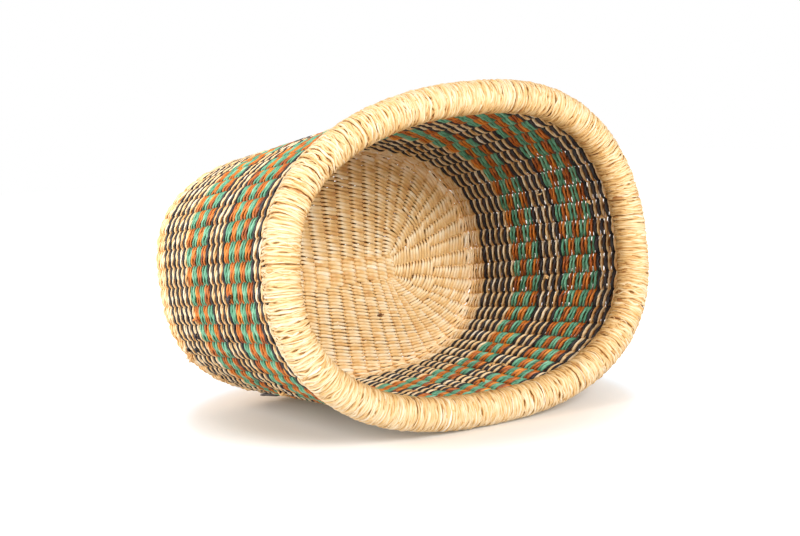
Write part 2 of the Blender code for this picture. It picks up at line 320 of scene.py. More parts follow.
@dataclass
class Tubes:
    """Strands of one length in steps, to be made into one mesh.

    Each array's first axis is the strand and its second the step along it.
    """

    centres: Array
    facing: Array
    half_depth: Array
    half_height: Array
    tone: Array
    along: Array
    closed: bool = True
    sides: int = 6
    edge_shade: float = 0.10
    back_shade: float = 0.0
    side: float | Array = 1.0
    grain_step: float = 1.37

    def shape(self) -> tuple[Array, list[Array], Array, Array]:
        """Work out the mesh.

        Returns:
            The points, the faces as arrays of 4 and of `sides` corners, the UV
            places of the corners in the same order, and each point's tone.
        """
        strands, steps, _ = self.centres.shape
        beyond = "wrap" if self.closed else "clip"
        ahead, behind = (self.centres.take(np.arange(steps) + way, 1, mode=beyond)
                         for way in (1, -1))
        forward = unit(ahead - behind)
        out = unit(self.facing - forward * np.sum(self.facing * forward, -1, keepdims=True))
        across = np.cross(forward, out)
        turns = np.arange(self.sides) / self.sides * 2 * np.pi
        deep = np.cos(turns)[:, None] * self.half_depth[:, :, None, None]
        high = np.sin(turns)[:, None] * self.half_height[:, :, None, None]
        ring = out[:, :, None] * deep + across[:, :, None] * high
        points = (self.centres[:, :, None] + ring).reshape(-1, 3)
        # Painted shade: the side of each ring that faces the middle of the weave is made darker,
        # where the other strands and the stakes shade it.
        back = np.maximum(-np.cos(turns) * np.asarray(self.side)[..., None], 0.0)
        # Painted shade: the sides of each ring are made darker, where the light falls off round a
        # round strand.
        tones = self.tone[..., None] - self.edge_shade * np.sin(turns) ** 2 - self.back_shade * back

        spans = steps if self.closed else steps - 1
        strand, step, side = np.indices((strands, spans, self.sides))
        start = (strand * steps + step) * self.sides
        end = (strand * steps + (step + 1) % steps) * self.sides
        beside = (side + 1) % self.sides
        quads = np.stack((start + side, start + beside, end + beside, end + side), -1)
        from_u, to_u = self.along[strand, step], self.along[strand, step + 1]
        from_v = side / self.sides + strand * self.grain_step
        to_v = from_v + 1 / self.sides
        places = np.stack((from_u, from_v, from_u, to_v, to_u, to_v, to_u, from_v), -1)
        faces, uvs = [quads.reshape(-1, 4)], [places.reshape(-1, 2)]
        if not self.closed:
            first = np.arange(strands)[:, None] * steps * self.sides
            start_cap = first + np.arange(self.sides)[::-1]
            end_cap = first + (steps - 1) * self.sides + np.arange(self.sides)
            faces.append(np.concatenate((start_cap, end_cap)))
            uvs.append(np.repeat(np.concatenate((self.along[:, 0], self.along[:, steps - 1])),
                                 self.sides)[:, None] * np.ones(2))
        return points, faces, np.concatenate(uvs), tones.reshape(-1)


def unit(vectors: Array) -> Array:
    """Return the vectors at length one."""
    return vectors / np.maximum(np.linalg.norm(vectors, axis=-1, keepdims=True), 1e-12)


def rounded(values: Array, power: float) -> Array:
    """Return the values pulled towards their sign, as in a rounded oval."""
    return np.sign(values) * np.abs(values) ** power


def soft_limit(values: Array, power: float) -> Array:
    """Return the values held smoothly between minus one and one."""
    return values / (1 + np.abs(values) ** power) ** (1 / power)


def stitch_places(stitches: int, steps: Sequence[float]) -> Array:
    """Return the places along a row, with the same steps in each stitch."""
    return (np.arange(stitches)[:, None] + np.array(steps)).reshape(-1)


def weave_side(places: Array, lead: Array, snap: float) -> Array:
    """Return how far outside the stakes a strand is, from 1 to -1, which is inside them."""
    return np.tanh(snap * np.sin(np.pi * places) * lead) / np.tanh(snap)


def bell(distance: Array, width: float) -> Array:
    """Return 1 at no distance, falling smoothly to 0 well beyond a width."""
    return np.exp(-(distance / width) ** 2)


def both_leads(rows: Array) -> tuple[Array, Array]:
    """Return each row twice, and the leads of its two strands."""
    return np.repeat(rows, 2), np.tile([lead.value for lead in Lead], len(rows))


def add_object(name: str, data: bpy.types.ID) -> bpy.types.Object:
    """Add an object to the scene.

    Args:
        name: the object's name.
        data: its mesh, camera or lamp.

    Returns:
        The new object.
    """
    made = bpy.data.objects.new(name, data)
    bpy.context.scene.collection.objects.link(made)
    return made


def add_piece(name: str, parts: Sequence[Tubes], finish: GrassFinish,
              replaced: Sequence[str]) -> bpy.types.Object:
    """Make one piece of the basket from its strands.

    Args:
        name: the piece's name.
        parts: groups of strands.
        finish: the grass they are made of.
        replaced: the CAD nodes that the piece stands for.

    Returns:
        The new object, which rides with the basket.
    """
    points, groups, uvs, tones = zip(*(part.shape() for part in parts))
    starts = np.cumsum([0, *map(len, points)])
    faces = [face for start, group in zip(starts, groups) for corners in group
             for face in (corners + start).tolist()]
    mesh = bpy.data.meshes.new(name)
    mesh.from_pydata(np.concatenate(points), [], faces)
    return dress(mesh, np.concatenate(tones), np.concatenate(uvs), finish, replaced)


def dress(mesh: bpy.types.Mesh, tones: Array, uvs: Array, finish: GrassFinish,
          replaced: Sequence[str]) -> bpy.types.Object:
    """Make a piece of a mesh: give it its tones, its finish and its place in the frame.

    Args:
        mesh: the mesh, named as the piece.
        tones: each point's tone, with its painted shade and highlights.
        uvs: the corners' places in the grain.
        finish: the grass it is made of.
        replaced: the CAD nodes that the piece stands for.

    Returns:
        The new object, which rides with the basket.
    """
    layer = mesh.uv_layers.new(name=UV_NAME)
    layer.data.foreach_set("uv", uvs.astype(np.float32).reshape(-1))
    tone = mesh.attributes.new(TONE_NAME, "FLOAT", "POINT")
    tone.data.foreach_set("value", tones.astype(np.float32))
    mesh.shade_smooth()
    mesh.materials.append(finish.material())
    piece = add_object(mesh.name, mesh)
    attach(piece, "root")
    if replaced:
        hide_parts(*replaced)
    LOG.info("%s: %d points, for %d nodes", mesh.name, len(mesh.vertices), len(replaced))
    return piece


@dataclass
class Shell:
    """The wall's middle surface, carried round the corner and across the base.

    A place is a stake count round the basket, 0 to 60, a row count from the foot,
    below 0 on the foot and the base, and a distance outward.
    """

    base_half_length: float = 0.160
    base_half_width: float = 0.101
    rim_half_length: float = 0.166
    rim_half_width: float = 0.117
    base_roundness: float = 2.61
    rim_roundness: float = 2.37
    base_lean: float = -0.035
    rim_lean: float = 0.09
    rim_shift: Pair = (0.005, 0.003)
    rim_lobe: float = 0.0025
    diagonal_dip: float = 0.002
    side_dip: float = 0.004
    corner_radius: float = 0.011
    foot_height: float = 0.021
    row_pitch: float = 0.00441
    row_count: int = 42
    wall_thickness: float = 0.0058
    origin: Pair = (-0.00733003, -0.00301773)
    stake_count: int = 60
    foot_rows: int = 6
    base_rows: int = 26
    spine_half_length: float = 0.0675
    spine_half_width: float = 0.010
    spine_shift: float = -0.007
    spine_follow: float = 0.815
    spine_powers: tuple[int, int] = (6, 4)
    outline_samples: int = 2881
    angles: Array = field(init=False)
    shares: Array = field(init=False)

    def __post_init__(self) -> None:
        """Measure the mid-wall outline, so that stakes can be set at even lengths."""
        self.angles = np.linspace(0.0, 2 * np.pi, self.outline_samples)
        line = self.line(0.5, self.angles)
        lengths = np.concatenate(([0.0], np.cumsum(np.hypot(*np.diff(line, axis=0).T))))
        self.shares = lengths / lengths[-1]

    @property
    def wall_top(self) -> float:
        """The height of the wall's top."""
        return self.foot_height + self.row_count * self.row_pitch

    @property
    def bend(self) -> float:
        """The radius of the middle surface at the corner."""
        return self.corner_radius - self.wall_thickness / 2

    def angle(self, stakes: Array) -> Array:
        """Find the outline's angle at a stake. The -Y side has slightly more stakes.

        Args:
            stakes: the stake count round the basket.

        Returns:
            The angle in plan.
        """
        share = np.mod(stakes / self.stake_count, 1.0)
        share = share + (1 - np.cos(2 * np.pi * share)) / 2 / self.stake_count
        return np.interp(share, self.shares, self.angles)

    def line(self, climb: float | Array, angle: Array) -> Array:
        """Find the basket's outline at a height.

        Args:
            climb: the share of the climb from the foot to the rim.
            angle: the angle in plan.

        Returns:
            The points in plan.
        """
        foot = self._oval(self.base_half_length, self.base_half_width, self.base_roundness,
                          self.base_lean, angle)
        rim = self._oval(self.rim_half_length, self.rim_half_width, self.rim_roundness,
                         self.rim_lean, angle)
        lobe = self.rim_lobe * np.cos(3 * angle)
        rim = rim - np.stack((lobe * np.cos(angle) + self.rim_shift[0],
                              lobe * np.sin(angle) + self.rim_shift[1]), -1)
        return foot + (rim - foot) * np.asarray(climb)[..., None]

    @staticmethod
    def _oval(length: float, width: float, roundness: float, lean: float,
              angle: Array) -> Array:
        """Find a rounded oval's points.

        Args:
            length: half its length.
            width: half its width.
            roundness: 2 for an ellipse, and more for fuller corners.
            lean: how far it leans along X with Y.
            angle: the angle in plan.

        Returns:
            The points in plan.
        """
        along = length * rounded(np.cos(angle), 2 / roundness)
        across = width * rounded(np.sin(angle), 2 / roundness)
        return np.stack((along + lean * across, across), -1)

    def facing_plan(self, climb: Array, angle: Array) -> Array:
        """Find which way the outline faces.

        Args:
            climb: the share of the climb from the foot to the rim.
            angle: the angle in plan.

        Returns:
            The outward directions in plan, at length one.
        """
        step = 0.01
        along = unit(self.line(climb, angle + step) - self.line(climb, angle - step))
        return np.stack((along[..., 1], -along[..., 0]), -1)

    def wave(self, angle: Array) -> Array:
        """Return how far the mouth rises or dips at each angle."""
        return -self.diagonal_dip * np.sin(2 * angle) - self.side_dip * np.sin(3 * angle)

    def spine(self, edge: Array) -> Array:
        """Find the place on the base's first rows that a stake runs to from the base's edge.

        Args:
            edge: the places on the edge, in plan.

        Returns:
            The places on the first rows, in plan.
        """
        plan = edge + self.origin
        reach = plan[..., 0] * self.spine_follow / self.spine_half_length
        beside = plan[..., 1] * 2 / self.base_half_width
        along = self.spine_half_length * soft_limit(reach, self.spine_powers[0])
        across = self.spine_half_width * soft_limit(beside, self.spine_powers[1])
        return np.stack((along, across + self.spine_shift), -1) - self.origin

    def place(self, stakes: Array, rows: Array,
              outward: Array) -> tuple[Array, Array]:
        """Find a place on the shell, or beside it.

        Args:
            stakes: the stake count round the basket.
            rows: the row count from the foot.
            outward: the distance outward from the middle surface.

        Returns:
            The point in space, and the direction that faces outward there.
        """
        stakes, rows, outward = np.broadcast_arrays(stakes, rows, outward)
        angle = self.angle(stakes)
        height = self.foot_height + np.maximum(rows, 0.0) * self.row_pitch
        climb = np.clip((height - self.foot_height) / (self.wall_top - self.foot_height), 0.0, 1.0)

        straight = self.foot_height - self.corner_radius
        foot_length = straight + self.bend * np.pi / 2
        down = np.clip(-rows / self.foot_rows, 0.0, 1.0) * foot_length
        turn = np.clip((down - straight) / self.bend, 0.0, np.pi / 2)
        drop = np.minimum(down, straight)
        reach = (self.bend + outward) * np.cos(turn) - self.bend
        level = np.where(turn > 0, self.corner_radius - (self.bend + outward) * np.sin(turn),
                         height - drop)

        ends = np.zeros_like(climb), np.ones_like(climb)
        foot, rim = (self.line(end, angle) for end in ends)
        foot_facing, rim_facing = (self.facing_plan(end, angle) for end in ends)
        plan = ((foot + foot_facing * reach[..., None]) * (1 - climb)[..., None]
                + (rim + rim_facing * reach[..., None]) * climb[..., None]) - self.origin
        inward = np.clip((-rows - self.foot_rows) / self.base_rows, 0.0, 1.0)[..., None]
        plan = plan + (self.spine(plan) - plan) * inward
        point = np.concatenate((plan, (level + climb * self.wave(angle))[..., None]), -1)

        facing_plan = unit(foot_facing * (1 - climb)[..., None] + rim_facing * climb[..., None])
        facing = np.concatenate((facing_plan * np.cos(turn)[..., None],
                                 -np.sin(turn)[..., None]), -1)
        return point, facing


@dataclass
class Twining:
    """How the two strands of a row cross between the stakes.

    A strand runs outside one stake and inside the next, and is two plies laid
    together. Heights are in rows. A pair of values is for the outside and the inside,
    unless its line says otherwise.

    Attributes:
        depth: how far a strand lies from the stakes' middle.
        outward_bias: how far outward the strands are where they cross.
        crossing_dip: how far they drop there.
        snap: how sharply a strand changes sides.
        sag, skew: how far a stitch hangs down, and how late along it.
        crossing_lift: how far all strands are lifted.
        slant: how far above or below its middle each end of a stitch is.
        hop, hop_share: what is added to that at a crossing, and its reach in stitches.
        ply_offset, ply_outward: how far a ply lies from the strand's middle, and the share
            of it that counts outward.
        end_offset: the share of the offset at a stitch's ends, and what its middle adds.
        end_share: how thick a stitch's ends are, as a share of its middle.
        taper, fullness: how early a stitch is fullest, and how abruptly it fills.
        lay: the plies' half turns in a stitch.
        painted_fullness_light, full_middle: painted light and shade: how much lighter a full
            place is than a thin one, which dives between the stakes into shade, and the
            fullness that keeps its tone.
        crossing_shade, shade_share: how dark painted shade makes a crossing, and its reach
            in stitches.
        wander: how far the rows wander up and down.
        waves: how many waves of that go round the basket, and how fast they turn with
            the rows.
        steps: the places along a stitch at which a strand has points.
    """

    shell: Shell
    seed: int = 7
    depth: Pair = (0.0019, 0.0018)
    outward_bias: float = 0.0008
    crossing_dip: float = 0.24
    snap: float = 2.0
    sag: Pair = (0.32, -0.06)
    sag_spread: float = 0.11
    skew: float = 1.8
    crossing_lift: float = 0.10
    lift_spread: float = 0.07
    slant: Pair = (0.22, 0.12)
    hop: float = 0.05
    hop_share: float = 0.09
    ply_offset: Pair = (0.00096, 0.00082)
    ply_half_height: Pair = (0.00120, 0.00086)
    ply_half_depth: float = 0.00122
    ply_outward: float = 0.8
    end_offset: Pair = (0.22, 0.78)
    end_share: Pair = (0.58, 0.86)
    taper: float = 1.7
    fullness: float = 0.6
    bulk_spread: float = 0.12
    lay: float = 1.5
    lay_spread: float = 0.45
    painted_fullness_light: float = 0.12
    full_middle: float = 0.7
    crossing_shade: float = 0.20
    shade_share: float = 0.06
    edge_shade: float = 0.16
    back_shade: float = 0.50
    grain: float = 1.47
    wander: float = 0.17
    waves: tuple[Pair, ...] = ((2, 0.9), (5, 1.7), (9, 2.6), (14, 1.3), (21, 3.1))
    wave_rows: float = 10.0
    wave_bend: float = 2.2
    wave_sum: float = 2.2
    steps: tuple[float, ...] = (0.0, 0.1, 0.22, 0.36, 0.5, 0.64, 0.78, 0.9)

    def drift(self, stakes: Array, rows: Array) -> Array:
        """Work out a slow unevenness of the rows that neighbours share.

        Args:
            stakes: the stake count round the basket.
            rows: the row count from the foot.

        Returns:
            How far up the rows wander, in rows.
        """
        total = np.zeros(np.broadcast(stakes, rows).shape)
        source = np.random.default_rng(self.seed)
        for turns, climbs in self.waves:
            phase, tilt = source.uniform(0, 2 * np.pi, 2)
            total += np.sin(2 * np.pi * turns * stakes / self.shell.stake_count + phase
                            + np.sin(climbs * rows / self.wave_rows + tilt) * self.wave_bend)
        return total * self.wander / self.wave_sum

    def strands(self, rows: Array, leads: Array, weaver: Weaver, salt: int = 0) -> Tubes:
        """Make the plies of some strands of the wall.

        Args:
            rows: each strand's row, from the foot.
            leads: each strand's lead, 1 or -1.
            weaver: what the strands are like.
            salt: a number that makes this band's unevenness its own.

        Returns:
            Two plies for each strand.
        """
        count, plies = self.shell.stake_count, len(rows) * 2
        chance = Chance(np.random.default_rng(self.seed * SEED_STEP + salt + weaver.salt), plies)
        stakes = stitch_places(count, self.steps)
        row = np.repeat(rows, 2)[:, None] + 0.5
        lead = np.repeat(leads, 2)[:, None]
        ply = np.tile((1.0, -1.0), len(rows))[:, None]
        wide = np.tile(weaver.widths, (plies, 1))
        if weaver.first_width is not None:
            wide[np.repeat(rows, 2) == rows[0]] = weaver.first_width

        flat = weave_side(stakes, lead, self.snap)
        outside = (1 + flat) / 2
        share = np.mod(stakes, 1.0)
        from_start = np.where(flat > 0, share, 1 - share)
        valley = np.sin(np.pi * from_start ** self.skew)
        full = np.sin(np.pi * (1 - (1 - from_start) ** self.taper)) ** self.fullness
        width = wide[:, 1:] + (wide[:, :1] - wide[:, 1:]) * outside
        sag = self._blend(self.sag, outside) + chance.stitched(stakes, count, self.sag_spread, 2)

        bulk = 1 + chance.stitched(stakes, count, self.bulk_spread)
        from_crossing = np.abs(np.mod(stakes + 0.5, 1.0) - 0.5)
        hop = self.hop * bell(from_crossing, self.hop_share)
        slant = self._blend(self.slant, outside) + hop
        lift = (self.crossing_lift - sag * valley + lead * slant * np.cos(np.pi * stakes)
                - self.crossing_dip * (1 - flat ** 2)
                + chance.stitched(stakes, count, self.lift_spread, 2))
        turn = self.lay * np.pi * (stakes - 1.0 + lead / 2)
        turn = turn + chance.stitched(stakes, count, self.lay_spread, 2)
        thin = self._blend(self.end_share, outside)
        body = thin + (1 - thin) * full
        offset = (self._blend(self.ply_offset, outside) * ply
                  * (self.end_offset[0] + self.end_offset[1] * full))
        depth = (np.where(flat > 0, *self.depth) * flat + self.outward_bias * (1 - flat ** 2)
                 + np.sin(turn) * offset * self.ply_outward)
        at_row = row + lift + np.cos(turn) * offset * width / self.shell.row_pitch
        at_row = at_row + self.drift(stakes, at_row)

        centres, facing = self.shell.place(stakes, at_row, depth)
        # Painted light and shade: a strand is lighter where it is full and darker at its thin
        # ends.
        tone = (weaver.tone + chance.each(weaver.tone_spread * 0.5)
                + chance.stitched(stakes, count, weaver.tone_spread)
                + self.painted_fullness_light * (full - self.full_middle))
        # Painted light on the strands inside the stakes, or painted shade where the weaver's value
        # is below 0, and painted shade at each crossing.
        tone = (tone + weaver.painted_inside_light * (1 - outside)
                - self.crossing_shade * bell(from_crossing, self.shade_share))
        along = chance.grain(np.append(stakes, count), self.grain)
        half_height = self._blend(self.ply_half_height, outside) * body * bulk * width
        return Tubes(centres, facing, self.ply_half_depth * body * bulk, half_height, tone, along,
                     edge_shade=self.edge_shade, back_shade=self.back_shade, side=flat)

    @staticmethod
    def _blend(pair: Pair, outside: Array) -> Array:
        """Return a value that goes from the inside's to the outside's."""
        return pair[1] + (pair[0] - pair[1]) * outside


@dataclass(frozen=True)
class Band:
    """A band of wall rows: how its nodes' names start, its rows, and its own unevenness."""

    name: str
    first_row: int
    row_count: int
    salt: int = 0

    @property
    def rows(self) -> Array:
        """The band's rows, counted from the foot."""
        return np.arange(self.first_row, self.first_row + self.row_count)

    def nodes(self, word: str = "") -> list[str]:
        """Return the band's CAD nodes whose names have a word in them."""
        return sorted(name for name in frame["nodes"]
                      if name.startswith(self.name) and word in name)


@dataclass
class Wall:
    """The 42 twined rows between the foot and the rim."""

    twining: Twining
    bands: tuple[Band, ...] = (
        Band("lower_stripe", 0, 10), Band("lower_check", 10, 8, 30),
        Band("middle_stripe", 18, 7, 54), Band("upper_check", 25, 10, 75),
        Band("upper_stripe", 35, 5, 105))
    top: Band = Band("top_natural", 40, 2)
    check_rows: int = 2

    def build(self) -> None:
        """Make each band, one piece for each colour in it."""
        for band in self.bands:
            make = self._check if "check" in band.name else self._stripe
            make(band)
        strands = self.twining.strands(*both_leads(self.top.rows), TOP_WEAVER)
        add_piece("dressed_top_rows", [strands], NATURAL, self.top.nodes())

    def _stripe(self, band: Band) -> None:
        """Make a band of single rows, black and natural in turn from a black one.

        Args:
            band: the band.
        """
        black, natural = both_leads(band.rows[0::2]), both_leads(band.rows[1::2])
        self._piece(band, BLACK_WEAVER, *black, band.nodes("black"))
        self._piece(band, NATURAL_WEAVER, *natural, band.nodes("natural") + band.nodes("inside"))

    def _check(self, band: Band) -> None:
        """Make a band of blocks, each row twined from one green and one orange strand.

        Args:
            band: the band.
        """
        from_top = (band.rows[-1] - band.rows) // self.check_rows
        leads = np.where(from_top % 2 == 0, Lead.SECOND.value, Lead.FIRST.value)
        self._piece(band, GREEN_WEAVER, band.rows, -leads, band.nodes())
        self._piece(band, ORANGE_WEAVER, band.rows, leads, band.nodes()[:1])

    def _piece(self, band: Band, weaver: Weaver, rows: Array, leads: Array,
               nodes: Sequence[str]) -> None:
        """Make the strands of one colour in a band.

        Args:
            band: the band.
            weaver: what the strands are like.
            rows: each strand's row.
            leads: each strand's lead, 1 or -1.
            nodes: the CAD nodes that the piece stands for.
        """
        strands = self.twining.strands(rows, leads, weaver, band.salt)
        add_piece(f"dressed_{band.name}_{weaver.kind}", [strands], weaver.finish, nodes)


@dataclass
class FootAndBase:
    """The plain rows round the corner and across the base, and the base's first rows.

    A stitch is narrow at one end and wide at the other. Heights are in rows, and
    places along a stitch are counted from its narrow end.

    Attributes:
        depth_range: a strand's thickness where it has no height, as a share of the half
            depth, and how much less it is at its full height.
        profile: places along a stitch, and its half height there.
        sag, sag_middle, skew: how far a stitch bends down, about which height, and how
            early along it.
        slant: how far above or below its middle each end of a stitch is.
        snap: how sharply a strand changes sides.
        tone_spreads: how much tones differ from strand to strand and stitch to stitch.
        painted_glint: a painted highlight near a stitch's narrow end, where its raised top
            catches the light: how much lighter it is, where it is, and its reach.
        end_shade: painted shade at the narrow end, where it dives beside its neighbours: how
            much darker it is, and its reach.
        painted_fade: painted shade: how much darker the base gets for each metre along Y,
        towards the side that the wall above it shades from the light.
        inside_bias: how far inward the strands are where they cross.
        drift_share: the share of the wall's unevenness that the loops have.
        fan_half_stakes: how many stakes a fan reaches from the middle of its end.
        fan_thinning: from which share of the way in a fan keeps every second stake, and
            from which every third.
        first_row_spread: how wide the first rows are together, in half widths of the spine.
        first_row_reach, first_row_power: how far their ends reach out, and how late.
    """

    twining: Twining
    half_depth: float = 0.00095
    depth_range: Pair = (1.25, 0.50)
    profile: tuple[Pair, ...] = ((0.0, 0.33), (0.12, 0.37), (0.32, 0.50), (0.46, 0.54),
                                 (0.80, 0.60), (1.0, 0.44))
    bulk_spread: float = 0.09
    sag: float = 0.06
    sag_middle: float = 0.6
    skew: float = 1.5
    slant: float = 0.41
    lift_spread: float = 0.05
    snap: float = 2.3
    tone: float = 0.54
    tone_spreads: Pair = (0.05, 0.085)
    painted_glint: Triple = (0.26, 0.30, 0.16)
    end_shade: Pair = (0.12, 0.11)
    edge_shade: float = 0.05
    back_shade: float = 0.58
    painted_fade: float = 0.85
    grain: float = 1.3
    depth: float = 0.0020
    inside_bias: float = 0.0004
    drift_share: float = 0.8
    loop_seed: int = 4000
    fan_half_stakes: int = 9
    fan_thinning: Pair = (0.50, 0.76)
    first_row_seed: int = 7000
    first_row_count: int = 6
    first_row_stitches: int = 14
    first_row_spread: float = 2.1
    first_row_width: float = 1.14
    first_row_reach: float = 0.0075
    first_row_power: int = 5
    steps: tuple[float, ...] = (0.0, 0.16, 0.36, 0.56, 0.74, 0.88)

    def build(self) -> None:
        """Make the foot's rows, the base's loops and its first rows."""
        shell = self.twining.shell
        rows, leads = both_leads(np.arange(-shell.foot_rows, 0))
        add_piece("dressed_foot_rows", [self.twining.strands(rows, leads, FOOT_WEAVER)], NATURAL,
                  ["foot_weave_outside", "foot_weave_inside"])
        middle = -shell.foot_rows - shell.base_rows // 2
        outer = [self._loop(row) for row in range(middle, -shell.foot_rows)]
        inner = [self._loop(row) for row in range(-shell.foot_rows - shell.base_rows, middle)]
        add_piece("dressed_base_outer_loops", outer, NATURAL, ["base_weave_under"])
        add_piece("dressed_base_inner_loops", inner + self._first_rows(), NATURAL,
                  ["base_weave_inside"])

    def stake_places(self, row: int) -> Array:
        """Find the stakes that cross a row: in the fans there are fewer, further in.

        Args:
            row: the row from the foot, below 0.

        Returns:
            The stakes' counts round the basket.
        """
        shell = self.twining.shell
        inward = (-row - shell.foot_rows) / shell.base_rows
        every = 1 + sum(inward >= place for place in self.fan_thinning)
        half_round = shell.stake_count // 2
        chosen = []
        for stake in range(shell.stake_count):
            from_end = (stake + self.fan_half_stakes) % half_round - self.fan_half_stakes
            if abs(from_end) >= self.fan_half_stakes or from_end % every == 0:
                chosen.append(stake)
        return np.array(chosen[:len(chosen) // 2 * 2], dtype=float)

    def _loop(self, row: int) -> Tubes:
        """Make one loop of the base.

        Args:
            row: the loop's row from the foot, below 0.

        Returns:
            The loop's two strands.
        """
        shell, places = self.twining.shell, self.stake_places(row)
        number = len(places)
        count = stitch_places(number, self.steps)
        stakes = np.interp(count, np.arange(number + 1),
                           np.append(places, places[0] + shell.stake_count))
        chance = Chance(np.random.default_rng(self.loop_seed - row), 2)
        lift, flat, half, tone = self._stitches(chance, count, number)
        at_row = row + 0.5 + lift
        at_row = at_row + self.twining.drift(stakes, at_row) * self.drift_share
        centres, facing = shell.place(stakes, at_row, self._outward(flat))
        sides = (shell.place(stakes, row + 0.5 + step, 0.0)[0] for step in (0.25, -0.25))
        pitch = np.linalg.norm(np.subtract(*sides), axis=-1) * 2
        along = chance.grain(np.append(count, number), self.grain)
        # Painted shade: the base's tone falls towards +Y, where the wall above it shades it.
        return self._tubes(centres, facing, flat, half, half * pitch,
                           tone - self.painted_fade * centres[..., 1], along, True)

    def _stitches(self, chance: Chance, count: Array, number: int) -> tuple[Array, ...]:
        """Work out the two strands of a row.

        Args:
            chance: the row's random numbers.
            count: the places along the row, in stitches.
            number: how many stitches the row has.

        Returns:
            The strands' lift, their side, their half height, in rows, and their tone.
        """
        lead = np.array([[lead.value] for lead in Lead])
        flat = weave_side(count, lead, self.snap)
        share = np.mod(count, 1.0)
        from_narrow = np.where(flat > 0, share, 1 - share)
        valley = np.sin(np.pi * (1 - (1 - from_narrow) ** self.skew))
        half = np.interp(from_narrow, *zip(*self.profile))
        half = half * (1 + chance.stitched(count, number, self.bulk_spread))
        lift = (self.sag * (self.sag_middle - valley) + self.slant * lead * np.cos(np.pi * count)
                + chance.stitched(count, number, self.lift_spread))
        # Painted light and shade: a highlight near a stitch's narrow end, and shade at that end.
        size, place, width = self.painted_glint
        tone = (self.tone + chance.each(self.tone_spreads[0])
                + chance.stitched(count, number, self.tone_spreads[1])
                + size * bell(from_narrow - place, width)
                - self.end_shade[0] * bell(from_narrow, self.end_shade[1]))
        return lift, flat, half, tone

    def _outward(self, flat: Array) -> Array:
        """Return the strands' distance outward: where they cross, they stay near the inside."""
        return self.depth * flat - self.inside_bias * (1 - flat ** 2)

    def _tubes(self, centres: Array, facing: Array, flat: Array, half: Array, half_height: Array,
               tone: Array, along: Array, closed: bool) -> Tubes:
        """Make two strands, which are thicker where they are narrower.

        Args:
            centres: their middle lines.
            facing: their outward directions.
            flat: how far outside the stakes they are, 1 to -1.
            half: their half height in rows.
            half_height: their half height in metres.
            tone: their tone.
            along: the places along their grain.
            closed: whether they go all the way round.

        Returns:
            The strands.
        """
        thick, thinning = self.depth_range
        half_depth = self.half_depth * (thick - thinning * half / half.max())
        return Tubes(centres, facing, half_depth, half_height, tone, along, closed,
                     edge_shade=self.edge_shade, back_shade=self.back_shade, side=flat)

    def _first_rows(self) -> list[Tubes]:
        """Make the straight rows along the base's middle, inside the first loop.

        Returns:
            Two strands for each row.
        """
        shell, number = self.twining.shell, self.first_row_stitches
        pitch = self.first_row_spread * shell.spine_half_width / self.first_row_count
        count = np.append(stitch_places(number, self.steps), number)
        beside = self.fan_half_stakes - 1 + number - count
        x = shell.place(beside, -shell.foot_rows - shell.base_rows + 0.5, 0.0)[0][:, 0]
        x = (x + self.first_row_reach * (2 * count / number - 1) ** self.first_row_power
             * np.sign(x[-1] - x[0]))
        made = []
        for row in range(self.first_row_count):
            chance = Chance(np.random.default_rng(self.first_row_seed + row), 2)
            lift, flat, half, tone = self._stitches(chance, count, number)
            y = shell.spine_shift + (self.first_row_count / 2 - row - 0.5 - lift) * pitch
            z = shell.wall_thickness / 2 - self._outward(flat)
            centres = np.stack((x * np.ones((2, 1)), y - shell.origin[1], z), -1)
            facing = np.zeros_like(centres)
            facing[..., 2] = -1.0
            along = chance.grain(np.append(count, number + 1), self.grain)
            made.append(self._tubes(centres, facing, flat, half,
                                    half * pitch * self.first_row_width, tone, along, False))
        return made


@dataclass
class Stakes:
    """The stiff stakes: up the wall, round the corner and in across the base.

    A pair of sizes is for the wall with the foot, and for the base. The tone is the
    middle one and its spread.
    """

    base: FootAndBase
    half_thickness: Pair = (0.00125, 0.00095)
    half_width: Pair = (0.0034, 0.0015)
    tone: Pair = (0.5, 0.12)
    grain: float = 0.5
    seed: int = 31
    wall_steps: int = 22
    foot_steps: int = 10
    base_steps: int = 12
    settling_rows: int = 6

    def build(self) -> None:
        """Make all stakes as one piece."""
        shell = self.base.twining.shell
        lasts: dict[int, int] = {}
        for row in range(-shell.foot_rows, -shell.foot_rows - shell.base_rows - 1, -1):
            lasts.update(dict.fromkeys(self.base.stake_places(row).astype(int).tolist(), row))
        groups: dict[int, list[int]] = {}
        for stake, last in lasts.items():
            groups.setdefault(last, []).append(stake)
        tubes = []
        source = np.random.default_rng(self.seed)
        for last, stakes in groups.items():
            chance = Chance(source, len(stakes))
            rows = np.concatenate((
                np.linspace(shell.row_count, 0, self.wall_steps),
                np.linspace(-1, -shell.foot_rows, self.foot_steps),
                np.linspace(-shell.foot_rows - 2, last, self.base_steps)))
            inward = np.clip(-rows - shell.foot_rows, 0, self.settling_rows)
            middles = np.array(stakes)[:, None] + 0.5
            middles = middles - 0.5 * inward / self.settling_rows
            centres, facing = shell.place(middles, rows, 0.0)
            each = np.ones((len(stakes), 1))
            thick, wide = (np.where(rows > -shell.foot_rows, *pair) * each
                           for pair in (self.half_thickness, self.half_width))
            tone = self.tone[0] + chance.each(self.tone[1]) * np.ones_like(thick)
            along = chance.grain(np.arange(len(rows) + 1), self.grain)
            tubes.append(Tubes(centres, facing, thick, wide, tone, along, False))
        add_piece("dressed_stakes", tubes, STAKE, ["stakes"])


@dataclass(frozen=True)
class WrapLayer:
    """One layer of the rim's wrap.

    It stands proud of the roll by a distance, and its turns go into the wall's outer
    side at a reach below the roll's middle.
    """

    name: str
    turns: int
    half_width: float
    half_depth: float
    proud: float
    tone: float
    reach: float
    nodes: tuple[str, ...] = ()


